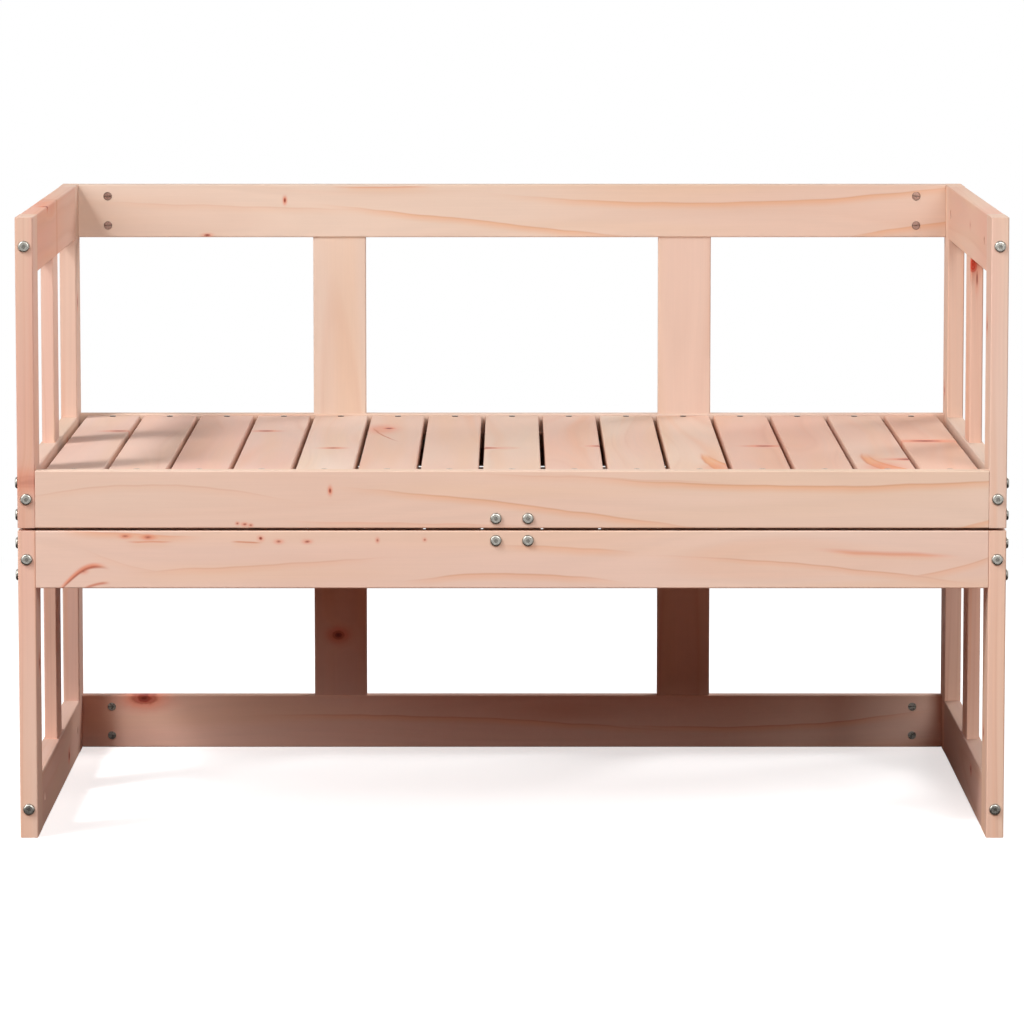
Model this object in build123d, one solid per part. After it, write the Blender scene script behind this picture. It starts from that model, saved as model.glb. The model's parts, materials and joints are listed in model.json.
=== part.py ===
from build123d import *
import os

# A garden sofa bench made of two equal board frames, in millimetres, with +Z up and the front towards -Y.
# The upper frame has its arms up. The lower frame is the same frame upside down, so its arms are the legs.
# Two butt hinges join the frames at the back: the upper frame folds over backwards into a low day bed.

# Frame sizes
overall_width = 1110.0
frame_depth = 690.0
unit_height = 349.0
unit_gap = 3.0

# Boards
board_width = 65.0
board_thickness = 20.0
edge_ease = 2.0
slat_thickness = 15.0
tenon_length = 10.0
mortise_clearance = 0.2
back_slat_offset = 213.0

# Seat
seat_slat_width = 65.0
seat_slat_thickness = 20.0
seat_slat_spacing = 5.5
seat_side_gap = 9.0
seat_end_gap = 1.0
seat_drop = 2.0
ledger_section = 20.0
ledger_end_gap = 0.5
stretcher_lift = 1.0

# Frame bolts and barrel nuts
bolt_radius = 3.0
bolt_hole_clearance = 0.25
bolt_head_radius = 6.5
bolt_head_height = 3.0
bolt_head_ease = 1.4
short_bolt_length = 60.0
long_bolt_length = 100.0
bolt_tip_past_nut = 3.5
bolt_pair_spacing = 36.0
nut_radius = 5.0
nut_length = 14.0
nut_recess = 1.0
nut_pocket_clearance = 0.1

# Wood screws
screw_radius = 2.0
screw_head_radius = 3.8
screw_head_depth = 2.6
slat_screw_length = 35.0
slat_screw_inset = 10.0
ledger_screw_length = 32.0

# Hinges and rest pads
hinge_offset = 300.0
hinge_length = 75.0
hinge_leaf_reach = 20.0
hinge_leaf_thickness = 1.4
hinge_knuckles = 3
hinge_end_play = 0.2
hinge_notch_clearance = 0.3
hinge_pin_radius = 1.5
hinge_pin_clearance = 0.05
hinge_screws_per_leaf = 3
hinge_screw_pitch = 27.0
hinge_screw_length = 16.0
hinge_screw_clearance = 0.15
fold_clearance = 0.5
pad_radius = 7.0

# Small round sections that repeat many times are plain polygons
shank_sides = 6
nut_sides = 6
head_sides = 8
knuckle_sides = 12

# Places that follow from the sizes above
hinge_setback = bolt_head_height + fold_clearance
knuckle_radius = hinge_setback - fold_clearance
depth_shift = (bolt_head_height - hinge_setback - knuckle_radius) / 2
front_y = -frame_depth / 2 + depth_shift
back_y = frame_depth / 2 + depth_shift
outer_x = overall_width / 2
inner_x = outer_x - board_thickness
post_x = (outer_x + inner_x) / 2
front_rail_y = front_y + board_thickness / 2
rear_rail_y = back_y - board_thickness / 2
arm_z = unit_height - board_width
mid_seat_rail_z = board_width / 2
mid_arm_rail_z = unit_height - board_width / 2
seat_top_z = board_width - seat_drop
seat_under_z = seat_top_z - seat_slat_thickness
ledger_under_z = seat_under_z - ledger_section
stretcher_z = stretcher_lift + board_thickness / 2
gap_mid_z = unit_height + unit_gap / 2
hinge_y = back_y + hinge_setback

left, right = -1, 1
side_names = {left: "left", right: "right"}


def box(x_range, y_range, z_range):
    """A plain block between the given low and high limits."""
    low = Vector(x_range[0], y_range[0], z_range[0])
    high = Vector(x_range[1], y_range[1], z_range[1])
    size = high - low
    return Pos(*((low + high) * 0.5)) * Box(size.X, size.Y, size.Z)


def span(centre, width):
    return (centre - width / 2, centre + width / 2)


def board(x_range, y_range, z_range, grain):
    """A planed board with its long edges eased along the grain."""
    blank = box(x_range, y_range, z_range)
    return chamfer(blank.edges().filter_by(grain), edge_ease)


def prism(plane, radius, sides, start, end):
    """A straight bar of regular section along the plane's normal."""
    section = plane.offset(start) * RegularPolygon(radius, sides)
    return extrude(section, end - start, dir=plane.z_dir)


def frame_bolt(plane, length):
    """A domed bolt whose head rests on the plane and whose shank runs along the normal."""
    head = prism(plane, bolt_head_radius, head_sides, -bolt_head_height, 0)
    rim = head.faces().sort_by(Axis(plane.origin, plane.z_dir))[0].edges()
    return chamfer(rim, bolt_head_ease) + prism(plane, bolt_radius, shank_sides, 0, length)


def wood_screw(plane, length, clearance=0.0):
    """A countersunk screw whose head is flush with the plane and which points along the normal."""
    head = plane * RegularPolygon(screw_head_radius + clearance, shank_sides)
    neck = plane.offset(screw_head_depth) * RegularPolygon(screw_radius + clearance, shank_sides)
    shank = prism(plane, screw_radius + clearance, shank_sides, screw_head_depth, length)
    return loft([head, neck]) + shank


def bolted_joint(seat, inward, length, nut_side):
    """One bolt from its seat on an outer face to a barrel nut, with the cuts that both need."""
    bolt_plane = Plane(seat, z_dir=inward)
    nut_reach = length - bolt_tip_past_nut
    face = seat + inward * nut_reach + nut_side * (board_thickness / 2)
    nut_plane = Plane(face, z_dir=-nut_side)
    nut_bottom = nut_recess + nut_length
    return {
        "bolt": frame_bolt(bolt_plane, length),
        "nut": prism(nut_plane, nut_radius, nut_sides, nut_recess, nut_bottom),
        "hole": prism(bolt_plane, bolt_radius + bolt_hole_clearance, shank_sides, 0, nut_reach),
        "pocket": prism(nut_plane, nut_radius + nut_pocket_clearance, nut_sides, 0, nut_bottom),
    }


def frame_boards():
    """Every board of one frame but the seat slats, by name, with no holes yet."""
    across = (-inner_x, inner_x)
    along = (front_y + board_width, back_y - board_width)
    front_rail_depth = (front_y, front_y + board_thickness)
    rear_rail_depth = (back_y - board_thickness, back_y)
    seat_rail = (0, board_width)
    arm_rail = (arm_z, unit_height)
    slat_rise = (board_width - tenon_length, arm_z + tenon_length)
    ledger_x = (-inner_x + ledger_end_gap, inner_x - ledger_end_gap)
    ledger_z = (ledger_under_z, seat_under_z)
    front_ledger_y = (front_y + board_thickness, front_y + board_thickness + ledger_section)
    rear_ledger_y = (back_y - board_thickness - ledger_section, back_y - board_thickness)
    stretcher_y = (front_y + board_thickness, back_y - board_thickness)
    boards = {
        "front_rail": board(across, front_rail_depth, seat_rail, Axis.X),
        "rear_rail": board(across, rear_rail_depth, seat_rail, Axis.X),
        "backrest_rail": board(across, rear_rail_depth, arm_rail, Axis.X),
        "front_ledger": board(ledger_x, front_ledger_y, ledger_z, Axis.X),
        "rear_ledger": board(ledger_x, rear_ledger_y, ledger_z, Axis.X),
        "centre_stretcher": board(span(0, board_width), stretcher_y, span(stretcher_z, board_thickness), Axis.Y),
    }
    for side, name in side_names.items():
        panel = span(side * post_x, board_thickness)
        arm_slat_x = span(side * post_x, slat_thickness)
        arm_slat_y = span((front_y + back_y) / 2, board_width)
        back_slat_x = span(side * back_slat_offset, board_width)
        back_slat_y = span(rear_rail_y, slat_thickness)
        full_height = (0, unit_height)
        boards[name + "_side_rail"] = board(panel, along, seat_rail, Axis.Y)
        boards[name + "_arm_rail"] = board(panel, along, arm_rail, Axis.Y)
        boards[name + "_front_post"] = board(panel, (front_y, front_y + board_width), full_height, Axis.Z)
        boards[name + "_rear_post"] = board(panel, (back_y - board_width, back_y), full_height, Axis.Z)
        boards[name + "_arm_slat"] = board(arm_slat_x, arm_slat_y, slat_rise, Axis.Z)
        boards[name + "_back_slat"] = board(back_slat_x, back_slat_y, slat_rise, Axis.Z)
    return boards


def cut_mortises(boards):
    """Pockets in the rails that the ends of the arm slats and back slats stand in."""
    for name in side_names.values():
        carriers = {
            name + "_arm_slat": (name + "_side_rail", name + "_arm_rail"),
            name + "_back_slat": ("rear_rail", "backrest_rail"),
        }
        for slat, rails in carriers.items():
            limits = boards[slat].bounding_box()
            x_range = (limits.min.X - mortise_clearance, limits.max.X + mortise_clearance)
            y_range = (limits.min.Y - mortise_clearance, limits.max.Y + mortise_clearance)
            pocket = box(x_range, y_range, (limits.min.Z, limits.max.Z))
            for rail in rails:
                boards[rail] = boards[rail] - pocket


def frame_joints():
    """Each bolted joint of one frame as the outer board, the inner board, the joint and the bolt's group."""
    to_right, to_back, to_up = Vector(1, 0, 0), Vector(0, 1, 0), Vector(0, 0, 1)
    half_pair = bolt_pair_spacing / 2
    joints = []
    for side, name in side_names.items():
        inward = to_right * -side
        crossings = (
            ("front_rail", "_front_post", front_rail_y, mid_seat_rail_z, to_back),
            ("rear_rail", "_rear_post", rear_rail_y, mid_seat_rail_z, to_back * -1),
            ("backrest_rail", "_rear_post", rear_rail_y, mid_arm_rail_z, to_back * -1),
        )
        for rail, post, y, z, nut_side in crossings:
            for rise in (-half_pair, half_pair):
                seat = Vector(side * outer_x, y, z + rise)
                joint = bolted_joint(seat, inward, short_bolt_length, nut_side)
                joints.append((name + post, rail, joint, "short_bolts"))
        for rail, z in (("_side_rail", mid_seat_rail_z), ("_arm_rail", mid_arm_rail_z)):
            for post, y, inward_y in (("_front_post", front_y, to_back), ("_rear_post", back_y, to_back * -1)):
                seat = Vector(side * post_x, y, z)
                joint = bolted_joint(seat, inward_y, long_bolt_length, to_right * -1)
                joints.append((name + post, name + rail, joint, "long_bolts"))
        for rail, y, inward_y in (("front_rail", front_y, to_back), ("rear_rail", back_y, to_back * -1)):
            seat = Vector(side * half_pair, y, stretcher_z)
            joint = bolted_joint(seat, inward_y, short_bolt_length, to_up * -1)
            joints.append((rail, "centre_stretcher", joint, "short_bolts"))
    return joints


def seat_slat_places():
    """Centres of the seat slats across the bench, spread evenly between the side gaps."""
    clear = 2 * (inner_x - seat_side_gap)
    count = round((clear + seat_slat_spacing) / (seat_slat_width + seat_slat_spacing))
    pitch = (clear - seat_slat_width) / (count - 1)
    return [(i - (count - 1) / 2) * pitch for i in range(count)]


def seat(places):
    """The seat slats with the screws that hold them to the ledgers, and the screws of the ledgers."""
    slat_ends = (front_y + board_thickness + seat_end_gap, back_y - board_thickness - seat_end_gap)
    down, to_back = Vector(0, 0, -1), Vector(0, 1, 0)
    slats, slat_screws, ledger_screws = [], [], []
    for x in places:
        slats.append(board(span(x, seat_slat_width), slat_ends, (seat_under_z, seat_top_z), Axis.Y))
        for y in (slat_ends[0] + slat_screw_inset, slat_ends[1] - slat_screw_inset):
            slat_screws.append(wood_screw(Plane((x, y, seat_top_z), z_dir=down), slat_screw_length))
    gaps = [(a + b) / 2 for a, b in zip(places, places[1:])]
    ledger_face = board_thickness + ledger_section
    for x in (gaps[1], gaps[5], gaps[-6], gaps[-2]):
        for y, inward in ((front_y + ledger_face, to_back * -1), (back_y - ledger_face, to_back)):
            start = Plane((x, y, seat_under_z - ledger_section / 2), z_dir=inward)
            ledger_screws.append(wood_screw(start, ledger_screw_length))
    return {"seat_slats": slats, "slat_screws": slat_screws, "ledger_screws": ledger_screws}


def build_unit():
    """One whole frame, standing on the plane of the joint between the frames, as lists of solids by name."""
    boards = frame_boards()
    cut_mortises(boards)
    pieces = {"short_bolts": [], "long_bolts": [], "barrel_nuts": []}
    for outer, inner, joint, group in frame_joints():
        boards[outer] = boards[outer] - joint["hole"]
        boards[inner] = boards[inner] - joint["hole"] - joint["pocket"]
        pieces[group].append(joint["bolt"])
        pieces["barrel_nuts"].append(joint["nut"])
    for name, solid in boards.items():
        pieces[name] = [solid]
    pieces.update(seat(seat_slat_places()))
    return pieces


def hinge_leaf(x, level, first_knuckle):
    """One leaf of a butt hinge in the gap, with every second knuckle. Level is +1 for the upper leaf."""
    outer_z = gap_mid_z + level * unit_gap / 2
    inner_z = outer_z - level * hinge_leaf_thickness
    plate = box(span(x, hinge_length), (hinge_y - hinge_leaf_reach, hinge_y), sorted((outer_z, inner_z)))
    step = hinge_length / hinge_knuckles
    half_play = hinge_end_play / 2
    notch_radius = knuckle_radius + hinge_notch_clearance
    barrel_start = Vector(x - hinge_length / 2, hinge_y, gap_mid_z)
    own = []
    for i in range(hinge_knuckles):
        axis = Plane(barrel_start + Vector(i * step, 0, 0), z_dir=(1, 0, 0))
        if i % 2 == first_knuckle:
            own.append(prism(axis, knuckle_radius, knuckle_sides, half_play, step - half_play))
        else:
            plate = plate - prism(axis, notch_radius, knuckle_sides, -half_play, step + half_play)
    leaf = plate + own
    bore = Plane(barrel_start, z_dir=(1, 0, 0)) * Circle(hinge_pin_radius + hinge_pin_clearance)
    leaf = leaf - extrude(bore, hinge_length)
    screws = []
    for i in range(hinge_screws_per_leaf):
        screw_x = x + (i - (hinge_screws_per_leaf - 1) / 2) * hinge_screw_pitch
        start = Plane((screw_x, rear_rail_y, inner_z), z_dir=(0, 0, level))
        screws.append(wood_screw(start, hinge_screw_length))
        leaf = leaf - wood_screw(start, hinge_screw_length, hinge_screw_clearance)
    return leaf, screws


def hinge_pin(x):
    start = Plane((x - hinge_length / 2, hinge_y, gap_mid_z), z_dir=(1, 0, 0))
    return extrude(start * Circle(hinge_pin_radius), hinge_length)


def hinges():
    nodes = {"hinge_pins": [], "upper_hinge_leaves": [], "lower_hinge_leaves": []}
    nodes.update({"upper_hinge_screws": [], "lower_hinge_screws": []})
    for side in (left, right):
        x = side * hinge_offset
        nodes["hinge_pins"].append(hinge_pin(x))
        for prefix, level, first_knuckle in (("lower", -1, 0), ("upper", 1, 1)):
            leaf, screws = hinge_leaf(x, level, first_knuckle)
            nodes[prefix + "_hinge_leaves"].append(leaf)
            nodes[prefix + "_hinge_screws"].extend(screws)
    return nodes


def rest_pads():
    """Discs on the upward ends of the lower posts, which carry the upper frame."""
    pads = []
    for side in (left, right):
        for y in (front_y + board_width / 2, back_y - board_width / 2):
            seat_plane = Plane((side * post_x, y, unit_height), z_dir=(0, 0, 1))
            pads.append(prism(seat_plane, pad_radius, head_sides, 0, unit_gap))
    return pads


def swap_sides(name):
    """The name of a side's piece after the frame is turned upside down about the depth axis."""
    for old, new in (("left_", "right_"), ("right_", "left_")):
        if name.startswith(old):
            return name.replace(old, new, 1)
    return name


unit = build_unit()
upper_place = Pos(0, 0, unit_height + unit_gap)
lower_place = Pos(0, 0, unit_height) * Rotation(0, 180, 0)

nodes = hinges()
nodes["rest_pads"] = rest_pads()
for name, solids in unit.items():
    nodes["upper_" + name] = [upper_place * solid for solid in solids]
    nodes["lower_" + swap_sides(name)] = [lower_place * solid for solid in solids]

os.makedirs("parts", exist_ok=True)
for name, solids in nodes.items():
    export_step(Compound(children=solids), "parts/" + name + ".step")
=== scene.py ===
import json
import math
import random

import bmesh
import bpy
from mathutils import Matrix, Vector


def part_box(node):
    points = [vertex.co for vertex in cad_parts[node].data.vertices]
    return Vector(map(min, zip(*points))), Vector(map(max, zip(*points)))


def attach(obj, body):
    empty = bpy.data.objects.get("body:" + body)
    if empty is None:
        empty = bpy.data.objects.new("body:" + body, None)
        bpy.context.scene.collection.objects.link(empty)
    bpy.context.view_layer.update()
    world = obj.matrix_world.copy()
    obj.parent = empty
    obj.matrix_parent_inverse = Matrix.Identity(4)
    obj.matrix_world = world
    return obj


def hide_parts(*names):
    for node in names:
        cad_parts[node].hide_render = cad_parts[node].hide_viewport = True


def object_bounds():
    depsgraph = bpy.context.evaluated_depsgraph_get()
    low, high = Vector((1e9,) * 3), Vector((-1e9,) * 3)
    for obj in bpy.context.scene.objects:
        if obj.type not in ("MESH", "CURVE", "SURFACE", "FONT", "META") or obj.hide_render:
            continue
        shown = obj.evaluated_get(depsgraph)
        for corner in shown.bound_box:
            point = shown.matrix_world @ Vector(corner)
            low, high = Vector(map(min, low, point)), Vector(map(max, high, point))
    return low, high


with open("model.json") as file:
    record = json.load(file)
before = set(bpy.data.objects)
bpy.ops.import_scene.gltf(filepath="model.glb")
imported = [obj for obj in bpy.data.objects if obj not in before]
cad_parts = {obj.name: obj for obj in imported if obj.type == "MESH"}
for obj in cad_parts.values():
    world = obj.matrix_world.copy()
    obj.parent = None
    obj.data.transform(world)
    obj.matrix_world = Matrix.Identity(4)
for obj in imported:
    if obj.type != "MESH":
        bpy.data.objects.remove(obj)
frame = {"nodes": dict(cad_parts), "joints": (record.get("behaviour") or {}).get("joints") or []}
cadLow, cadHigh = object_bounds()
print("frame loaded:", len(frame["nodes"]), "nodes")

turnHeight = (cadLow.z + cadHigh.z) / 2  # the lower frame is the upper one turned over about this height
right, back, up = Vector((1, 0, 0)), Vector((0, 1, 0)), Vector((0, 0, 1))
touching = 1e-6  # places closer than this are the same
overcut = 0.001  # how far a cutter stands out of the piece it cuts
facingShare = 0.9  # of a face's direction, from which on it looks that way
rimSlack = 0.05  # share of a radius within which a point is on the rim
topSkin = 0.0002  # how far down the top of a fastener's head reaches
random.seed(14)


# selecting and editing

def clearSelection():
    active = bpy.context.view_layer.objects.active
    if active and active.mode != "OBJECT":
        bpy.ops.object.mode_set(mode="OBJECT")
    bpy.ops.object.select_all(action="DESELECT")


def selectOnly(obj):
    clearSelection()
    obj.select_set(True)
    bpy.context.view_layer.objects.active = obj


def nameIt(name):
    obj = bpy.context.object
    obj.name = name
    obj.data.name = name
    return obj


def applyPlace(obj):
    selectOnly(obj)
    bpy.ops.object.transform_apply(location=True, rotation=True, scale=True)


def addShape(name, primitive, **sizes):
    clearSelection()
    primitive(**sizes)
    shape = nameIt(name)
    applyPlace(shape)
    return shape


def addBlock(name, low, high):
    block = addShape(name, bpy.ops.mesh.primitive_cube_add, size=1)
    block.scale = high - low
    block.location = (low + high) / 2
    applyPlace(block)
    return block


def addDrum(name, sides, radius, base, top):  # upright, between two heights
    return addShape(name, bpy.ops.mesh.primitive_cylinder_add, vertices=sides, radius=radius,
                    depth=top - base, location=(0, 0, (base + top) / 2))


def facing(direction):
    return direction.to_track_quat("Z", "Y").to_matrix()


def addRod(name, sides, radius, start, end):
    half = (end - start).length / 2
    rod = addDrum(name, sides, radius, -half, half)
    rod.matrix_world = Matrix.Translation((start + end) / 2) @ facing(end - start).to_4x4()
    applyPlace(rod)
    return rod


def openEdit(obj, kind):
    selectOnly(obj)
    bpy.ops.object.mode_set(mode="EDIT")
    bpy.ops.mesh.select_mode(type=kind)


def closeEdit():
    bpy.ops.object.mode_set(mode="OBJECT")


def pick(obj, kind, wanted):  # kind: edges or faces
    bpy.ops.mesh.select_all(action="DESELECT")
    for item in getattr(bmesh.from_edit_mesh(obj.data), kind):
        if wanted(item):
            item.select_set(True)
    bmesh.update_edit_mesh(obj.data)


def bevelEdges(obj, width, steps, wanted):
    openEdit(obj, "EDGE")
    pick(obj, "edges", wanted)
    bpy.ops.mesh.bevel(offset=width, segments=steps, profile=0.5, affect="EDGES")
    closeEdit()


def runs(edge, axis):  # how far an edge runs along an axis
    return abs(edge.verts[0].co[axis] - edge.verts[1].co[axis])


def combine(obj, other, how):
    change = obj.modifiers.new("combine", "BOOLEAN")
    change.operation = how
    change.solver = "EXACT"
    change.object = other
    selectOnly(obj)
    bpy.ops.object.modifier_apply(modifier=change.name)
    bpy.data.objects.remove(other)


def cutAway(obj, cutter):
    combine(obj, cutter, "DIFFERENCE")


def smoothEdges(obj, angle):
    selectOnly(obj)
    bpy.ops.object.shade_smooth_by_angle(angle=math.radians(angle))
    even = obj.modifiers.new("even", "WEIGHTED_NORMAL")  # keeps the flats flat beside rounded edges
    even.keep_sharp = True
    bpy.ops.object.modifier_apply(modifier=even.name)


def copyOf(obj, name):
    selectOnly(obj)
    bpy.ops.object.duplicate(linked=False)
    return nameIt(name)


def turnOver(obj, name):
    turned = copyOf(obj, name)
    bpy.ops.transform.rotate(value=math.pi, orient_axis="Y", center_override=(0, 0, turnHeight))
    applyPlace(turned)
    return turned


def joinAll(objs, name):
    clearSelection()
    for obj in objs:
        obj.select_set(True)
    bpy.context.view_layer.objects.active = objs[0]
    bpy.ops.object.join()
    joined = nameIt(name)
    applyPlace(joined)
    return joined


def middleOf(node):
    low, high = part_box(node)
    return (low + high) / 2


def pieceName(node):
    words = node.split("_")
    return words[0] + "".join(word.capitalize() for word in words[1:])


def setPiece(obj, material, body, slot, node):
    obj.data.materials.clear()
    obj.data.materials.append(material)
    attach(obj, body)
    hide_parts(node)


# shader building

def srgb(red, green, blue):
    return tuple(((value / 255 + 0.055) / 1.055) ** 2.4 for value in (red, green, blue)) + (1.0,)


sheet = {"tree": None}  # the node tree that is being drawn


def feed(socket, value):
    if isinstance(value, bpy.types.NodeSocket):
        sheet["tree"].links.new(value, socket)
    elif value is not None:
        socket.default_value = value


def feedAll(sockets, values):
    for label, value in values.items():
        feed(sockets[label], value)


def addNode(kind, *values, **settings):  # values for its sockets in their order
    node = sheet["tree"].nodes.new("ShaderNode" + kind)
    for name, setting in settings.items():
        setattr(node, name, setting)
    for socket, value in zip(node.inputs, values):
        feed(socket, value)
    return node


def calc(operation, *values):
    return addNode("Math", *values, operation=operation).outputs[0]


def times(first, *others):
    for other in others:
        first = calc("MULTIPLY", first, other)
    return first


def mixOf(first, second, shares):
    return calc("MULTIPLY_ADD", first, shares[0], times(second, shares[1]))


def largest(first, *others):
    for other in others:
        first = calc("MAXIMUM", first, other)
    return first


def vectorCalc(operation, *values):
    node = addNode("VectorMath", *values, operation=operation)
    return node.outputs["Value" if operation == "LENGTH" else "Vector"]


def scaled(vector, *factors):
    return vectorCalc("MULTIPLY", vector, factors)


def grown(vector, size):
    return vectorCalc("SCALE", vector, None, None, size)


def split(vector):
    return addNode("SeparateXYZ", vector).outputs


def gather(x=None, y=None, z=None):
    return addNode("CombineXYZ", x, y, z).outputs[0]


def noiseAt(vector, detail=2.0, rough=0.5):
    return addNode("TexNoise", vector, None, 1.0, detail, rough).outputs[0]


def noiseSwing(vector, detail=2.0):  # a vector that swings about zero
    noise = addNode("TexNoise", vector, None, 1.0, detail).outputs[1]
    return vectorCalc("SUBTRACT", noise, (0.5, 0.5, 0.5))


def chanceOf(number):
    return addNode("TexWhiteNoise", None, number, noise_dimensions="1D").outputs


def between(value, low, high, toLow=0.0, toHigh=1.0):
    smooth = addNode("MapRange", value, low, high, toLow, toHigh, interpolation_type="SMOOTHSTEP")
    return smooth.outputs[0]


def fadeOut(value, low, high):
    return between(value, low, high, 1.0, 0.0)


def ramp(factor, stops, steps="LINEAR"):
    node = addNode("ValToRGB", factor)
    node.color_ramp.interpolation = steps
    points = node.color_ramp.elements
    while len(points) < len(stops):
        points.new(0.5)
    for point, (place, shade) in zip(points, stops):
        point.position = place
        point.color = tuple(shade) + (1.0,) if isinstance(shade, tuple) else (shade, shade, shade, 1.0)
    return node.outputs[0]


def blendColour(factor, first, second, kind="MIX"):
    unused = [None] * 5  # the node's number and vector sockets
    return addNode("Mix", factor, *unused, first, second, data_type="RGBA", blend_type=kind).outputs[2]


def startGroup(name, vectors, numbers, colours=""):
    group = sheet["tree"] = bpy.data.node_groups.new(name, "ShaderNodeTree")
    for kind, labels in (("Vector", vectors), ("Float", numbers), ("Color", colours)):
        for label in labels.split():
            group.interface.new_socket(name=label, in_out="INPUT", socket_type="NodeSocket" + kind)
    return group.nodes.new("NodeGroupInput").outputs


def endGroup(**results):
    group = sheet["tree"]
    for label in results:
        kind = "Color" if label == "Color" else "Float"
        group.interface.new_socket(name=label, in_out="OUTPUT", socket_type="NodeSocket" + kind)
    feedAll(group.nodes.new("NodeGroupOutput").inputs, results)
    return group


def placeGroup(group, **values):
    node = addNode("Group", node_tree=group)
    feedAll(node.inputs, values)
    return node.outputs


def emptyTree(owner):
    owner.use_nodes = True
    owner.node_tree.nodes.clear()
    sheet["tree"] = owner.node_tree


def startMaterial(name):
    material = bpy.data.materials.new(name)
    emptyTree(material)
    shader = addNode("BsdfPrincipled")
    addNode("OutputMaterial", shader.outputs["BSDF"])
    return material, shader, addNode("TexCoord").outputs["Object"]


def setShader(shader, colour, rough, height, relief):
    bump = addNode("Bump")
    feedAll(bump.inputs, dict(relief, Height=height))
    feedAll(shader.inputs, {"Base Color": colour, "Roughness": rough, "Normal": bump.outputs["Normal"]})


# planed fir: growth rings round a pith line, fibres along the board, knots

fir = {
    "pale": srgb(228, 202, 185),
    "blush": srgb(227, 185, 168),
    "sand": srgb(228, 194, 168),
    "late": srgb(206, 152, 124),
    "orange": srgb(228, 170, 130),
    "knotHalo": srgb(222, 132, 102),
    "knotCore": srgb(158, 64, 50),
    "knotHeart": srgb(110, 44, 36),
    "resin": srgb(206, 58, 36),
    "shine": 0.07,
    "relief": {"Distance": 0.00014, "Strength": 0.5},
    "year": ((0.0, 0.0), (0.4, 0.06), (0.72, 0.5), (0.84, 1.0), (0.93, 0.45), (1.0, 0.0)),  # its late wood
}


firRings = {  # sizes of noise: along, across and through the board, or along it and round the rings
    "logShares": (0.37, 0.71), "swing": (1.5, 5.0, 5.0), "swingDetail": 1.2, "swingShare": 2.0,
    "shake": (7.0, 60.0, 60.0), "shakeShare": 0.14, "fibre": (12.0, 560.0, 560.0), "fibreRough": 0.6,
    "sand": (2.1, 24.0, 24.0), "fade": (2.6, 110.0), "tone": (1.5, 22.0), "strand": (4.0, 420.0),
    "streak": (1.2, 75.0), "flowDetail": 1.5, "fadeRange": (0.38, 0.62, 0.15, 1.0),
    "yearRange": (0.15, 1.0, 0.1, 1.0), "streakRange": (0.57, 0.76), "fibreMix": (0.6, 0.4),
    "riseMix": (0.55, 0.5),
}


def buildFirGrain(plan):
    given = startGroup("firGrain", "Vector Pith", "Shift Gap Wander")
    shift = given["Shift"]
    log = gather(shift, *[times(shift, share) for share in plan["logShares"]])
    moved = vectorCalc("ADD", given["Vector"], log)
    swing = noiseSwing(scaled(moved, *plan["swing"]), plan["swingDetail"])
    bent = vectorCalc("ADD", given["Vector"], grown(swing, times(given["Wander"], plan["swingShare"])))
    section = scaled(vectorCalc("SUBTRACT", bent, given["Pith"]), 0.0, 1.0, 1.0)
    radius = vectorCalc("LENGTH", section)
    shake = calc("SUBTRACT", noiseAt(scaled(moved, *plan["shake"])), 0.5)
    phase = calc("MULTIPLY_ADD", shake, plan["shakeShare"], calc("DIVIDE", radius, given["Gap"]))
    chance = chanceOf(calc("ADD", calc("FLOOR", phase), shift))["Value"]
    along = split(moved)[0]

    def flow(kind):  # noise that follows the rings
        stretch, around = plan[kind]
        across = calc("MULTIPLY_ADD", radius, around, shift)
        return noiseAt(gather(times(along, stretch), across), plan["flowDetail"])

    line = ramp(calc("FRACT", phase), fir["year"])
    fade = between(flow("fade"), *plan["fadeRange"])
    late = times(line, between(chance, *plan["yearRange"]), fade)
    fibre = noiseAt(scaled(moved, *plan["fibre"]), 2.0, plan["fibreRough"])
    return endGroup(
        Late=late, Tone=flow("tone"), Sand=noiseAt(scaled(moved, *plan["sand"]), 1.0),
        Fibre=mixOf(flow("strand"), fibre, plan["fibreMix"]),
        Streak=between(flow("streak"), *plan["streakRange"]),
        Height=mixOf(late, fibre, plan["riseMix"]))


def withinSlat(given):
    off = calc("SUBTRACT", split(given["Vector"])[1], given["Mid"])
    return calc("LESS_THAN", calc("ABSOLUTE", off), given["Half"])


knotShape = {  # reaches in radii of the knot
    "rag": (120.0, 120.0, 50.0), "ragShare": 0.7, "ragMost": 0.004, "ringPace": 15.0, "ringDepth": 0.16,
    "core": (0.6, 1.1), "heart": (0.1, 0.6), "halo": (0.7, 3.6), "haloPower": 2.0, "swellBase": 2.718,
    "swellFall": -0.22,
}


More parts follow.
